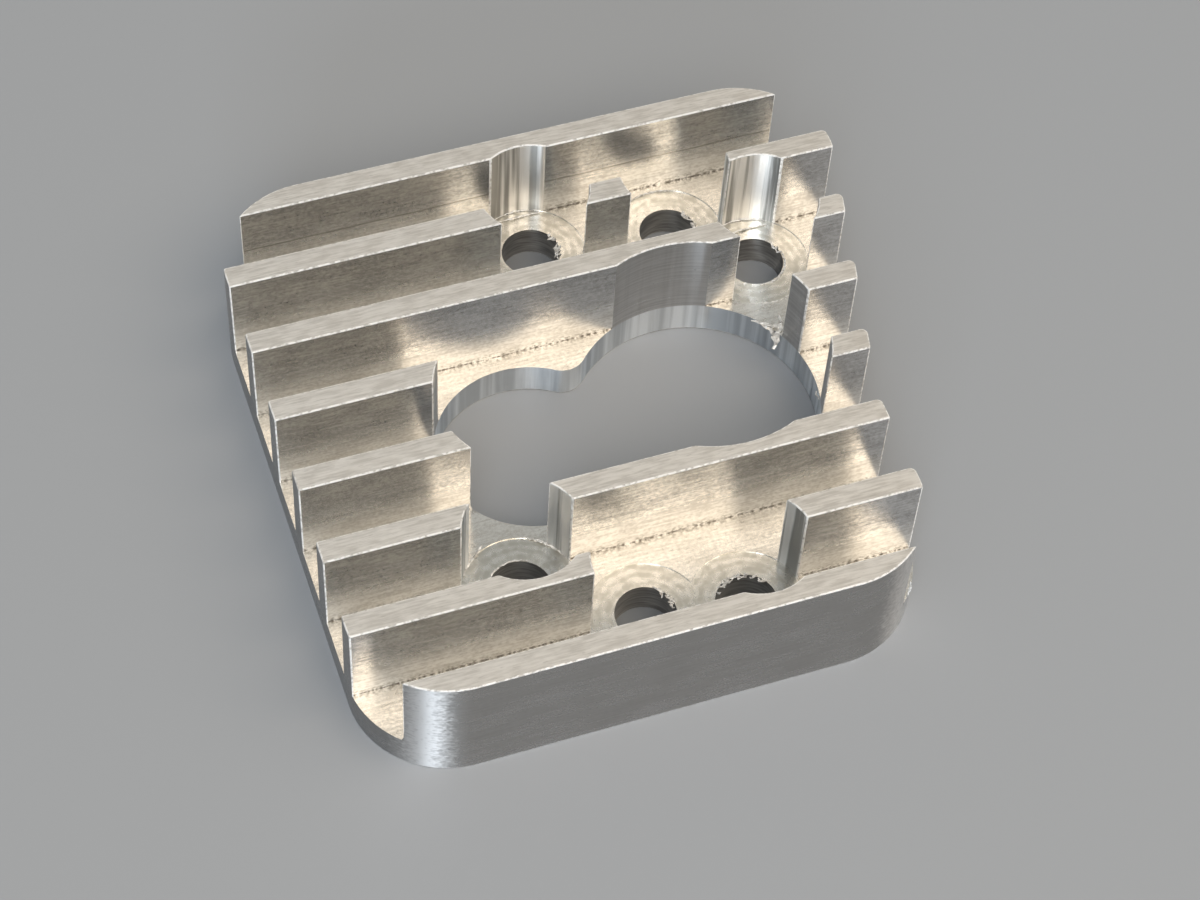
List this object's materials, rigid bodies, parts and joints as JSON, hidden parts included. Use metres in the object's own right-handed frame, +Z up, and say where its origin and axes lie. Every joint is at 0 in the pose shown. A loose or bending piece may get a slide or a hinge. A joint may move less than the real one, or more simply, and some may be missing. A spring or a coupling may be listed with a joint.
{
  "type": "motor heat sink mount",
  "caption": "Flat plate milled from one block, with upright cooling fins on one side, a keyhole opening for a motor's shaft and gears, and screw holes with head pockets.",
  "frame": {"origin": "centre of the underside's bounding box", "axes": "+Z up through the plate to the fin tips, +X along the fins towards the slanted edge, +Y across the fins towards the side where the plate is widest"},
  "size_m": [0.0336, 0.0324, 0.0074],
  "materials": {
    "bare_aluminium": "as milled, with fine straight and swirled cutter lines"
  },
  "bodies": {
    "root": {"heat_sink_mount": "bare_aluminium"}
  },
  "joints": []
}
